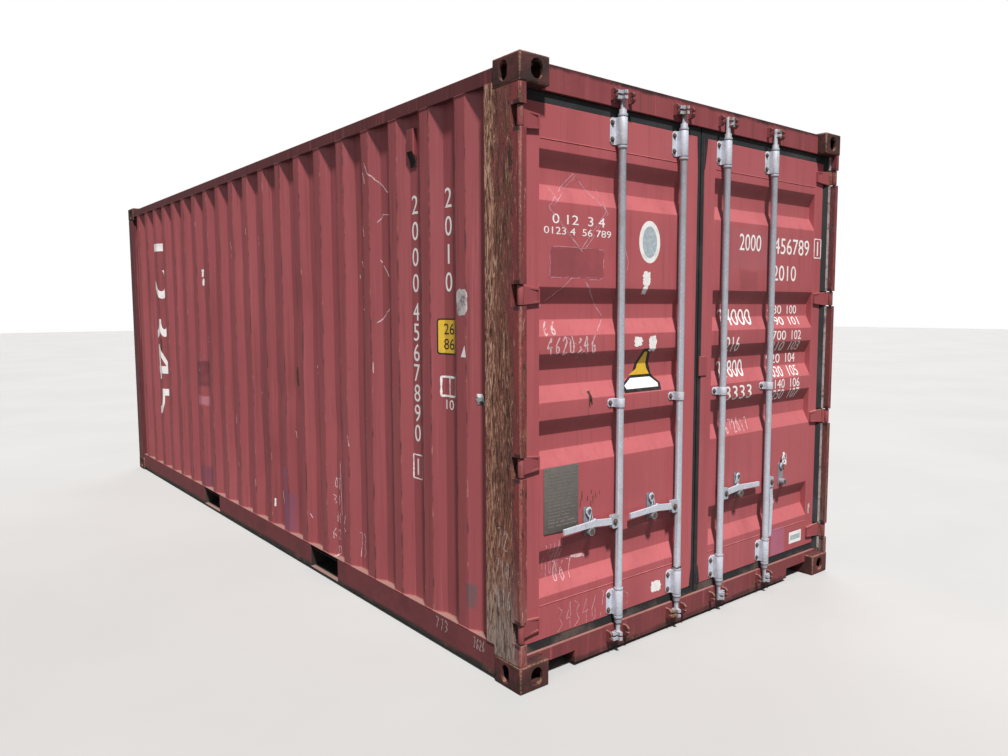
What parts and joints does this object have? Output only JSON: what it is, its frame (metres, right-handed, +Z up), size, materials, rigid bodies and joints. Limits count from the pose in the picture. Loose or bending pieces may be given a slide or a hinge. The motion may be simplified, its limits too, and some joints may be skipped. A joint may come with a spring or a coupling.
{
  "type": "shipping container",
  "caption": "Steel box container with corrugated walls, corner castings, forklift pockets and two hinged end doors with locking bars and lift-over handles.",
  "frame": {"origin": "middle of the footprint, on the ground under the corner castings", "axes": "+Z up, +Y along the length from the doors to the closed end, +X across the width to the right as one faces the doors"},
  "size_m": [2.438, 6.058, 2.591],
  "materials": {
    "castings": "worn and rusty",
    "frame_paint": "faded, chalky",
    "wall_paint": "faded, chalky",
    "roof_paint": "faded, rusty",
    "floor": "worn plywood",
    "underframe": "bitumen undercoat",
    "door_paint": "faded, chalky",
    "seals": "matt",
    "locking_gear": "galvanised, rusty"
  },
  "bodies": {
    "container": {"castings_door_end_top": "castings", "castings_door_end_bottom": "castings", "castings_closed_end_top": "castings", "castings_closed_end_bottom": "castings", "door_post_left": "frame_paint", "door_post_right": "frame_paint", "closed_post_left": "frame_paint", "closed_post_right": "frame_paint", "top_rail_left": "frame_paint", "top_rail_right": "frame_paint", "bottom_rail_left": "frame_paint", "bottom_rail_right": "frame_paint", "door_header": "frame_paint", "door_sill": "frame_paint", "closed_end_top_rail": "frame_paint", "closed_end_bottom_rail": "frame_paint", "side_wall_left": "wall_paint", "side_wall_right": "wall_paint", "closed_end_wall": "wall_paint", "roof": "roof_paint", "roof_corner_plates": "roof_paint", "floor_boards": "floor", "cross_members": "underframe", "forklift_pockets": "underframe", "ventilators": "frame_paint"},
    "door_left": {"door_frame_left": "door_paint", "door_sheet_left": "door_paint", "door_gasket_left": "seals", "hinge_blades_left": "door_paint", "bar_guides_left": "locking_gear", "handle_rests_left": "locking_gear"},
    "door_right": {"door_frame_right": "door_paint", "door_sheet_right": "door_paint", "door_gasket_right": "seals", "hinge_blades_right": "door_paint", "bar_guides_right": "locking_gear", "handle_rests_right": "locking_gear", "seal_plate": "door_paint"},
    "locking_bar_1": {"bar_1": "locking_gear"},
    "lever_1": {"handle_1": "locking_gear"},
    "flap_1": {"catch_1": "locking_gear"},
    "locking_bar_2": {"bar_2": "locking_gear"},
    "lever_2": {"handle_2": "locking_gear"},
    "flap_2": {"catch_2": "locking_gear"},
    "locking_bar_3": {"bar_3": "locking_gear"},
    "lever_3": {"handle_3": "locking_gear"},
    "flap_3": {"catch_3": "locking_gear"},
    "locking_bar_4": {"bar_4": "locking_gear"},
    "lever_4": {"handle_4": "locking_gear"},
    "flap_4": {"catch_4": "locking_gear"}
  },
  "joints": [
    {"name": "left_door_hinges", "type": "hinge", "parent": "container", "child": "door_left", "pos_m": [-1.197, -3.007, 0.253], "axis": [0, 0, -1], "range_deg": [0, 262]},
    {"name": "right_door_hinges", "type": "hinge", "parent": "container", "child": "door_right", "pos_m": [1.197, -3.007, 0.253], "axis": [0, 0, 1], "range_deg": [0, 262]},
    {"name": "bar_1_turn", "type": "hinge", "parent": "door_left", "child": "locking_bar_1", "pos_m": [-0.598, -2.994, 1.17], "axis": [0, 0, -1], "range_deg": [-110, 0]},
    {"name": "bar_2_turn", "type": "hinge", "parent": "door_left", "child": "locking_bar_2", "pos_m": [-0.174, -2.994, 1.17], "axis": [0, 0, -1], "range_deg": [-110, 0]},
    {"name": "bar_3_turn", "type": "hinge", "parent": "door_right", "child": "locking_bar_3", "pos_m": [0.174, -2.994, 1.17], "axis": [0, 0, 1], "range_deg": [-110, 0]},
    {"name": "bar_4_turn", "type": "hinge", "parent": "door_right", "child": "locking_bar_4", "pos_m": [0.598, -2.994, 1.17], "axis": [0, 0, 1], "range_deg": [-110, 0]},
    {"name": "handle_1_lift", "type": "hinge", "parent": "locking_bar_1", "child": "lever_1", "pos_m": [-0.634, -2.994, 0.628], "axis": [0, -1, 0], "range_deg": [-30, 0]},
    {"name": "handle_2_lift", "type": "hinge", "parent": "locking_bar_2", "child": "lever_2", "pos_m": [-0.21, -2.994, 0.628], "axis": [0, -1, 0], "range_deg": [-30, 0]},
    {"name": "handle_3_lift", "type": "hinge", "parent": "locking_bar_3", "child": "lever_3", "pos_m": [0.21, -2.994, 0.628], "axis": [0, 1, 0], "range_deg": [-30, 0]},
    {"name": "handle_4_lift", "type": "hinge", "parent": "locking_bar_4", "child": "lever_4", "pos_m": [0.634, -2.994, 0.628], "axis": [0, -1, 0], "range_deg": [0, 55]},
    {"name": "catch_1_swing", "type": "hinge", "parent": "door_left", "child": "flap_1", "pos_m": [-0.777, -2.9775, 0.6967], "axis": [0, -1, 0], "range_deg": [-160, 0]},
    {"name": "catch_2_swing", "type": "hinge", "parent": "door_left", "child": "flap_2", "pos_m": [-0.353, -2.9775, 0.6967], "axis": [0, -1, 0], "range_deg": [-160, 0]},
    {"name": "catch_3_swing", "type": "hinge", "parent": "door_right", "child": "flap_3", "pos_m": [0.353, -2.9775, 0.6967], "axis": [0, 1, 0], "range_deg": [-160, 0]},
    {"name": "catch_4_swing", "type": "hinge", "parent": "door_right", "child": "flap_4", "pos_m": [0.777, -2.9775, 0.6967], "axis": [0, 1, 0], "range_deg": [0, 160]}
  ]
}
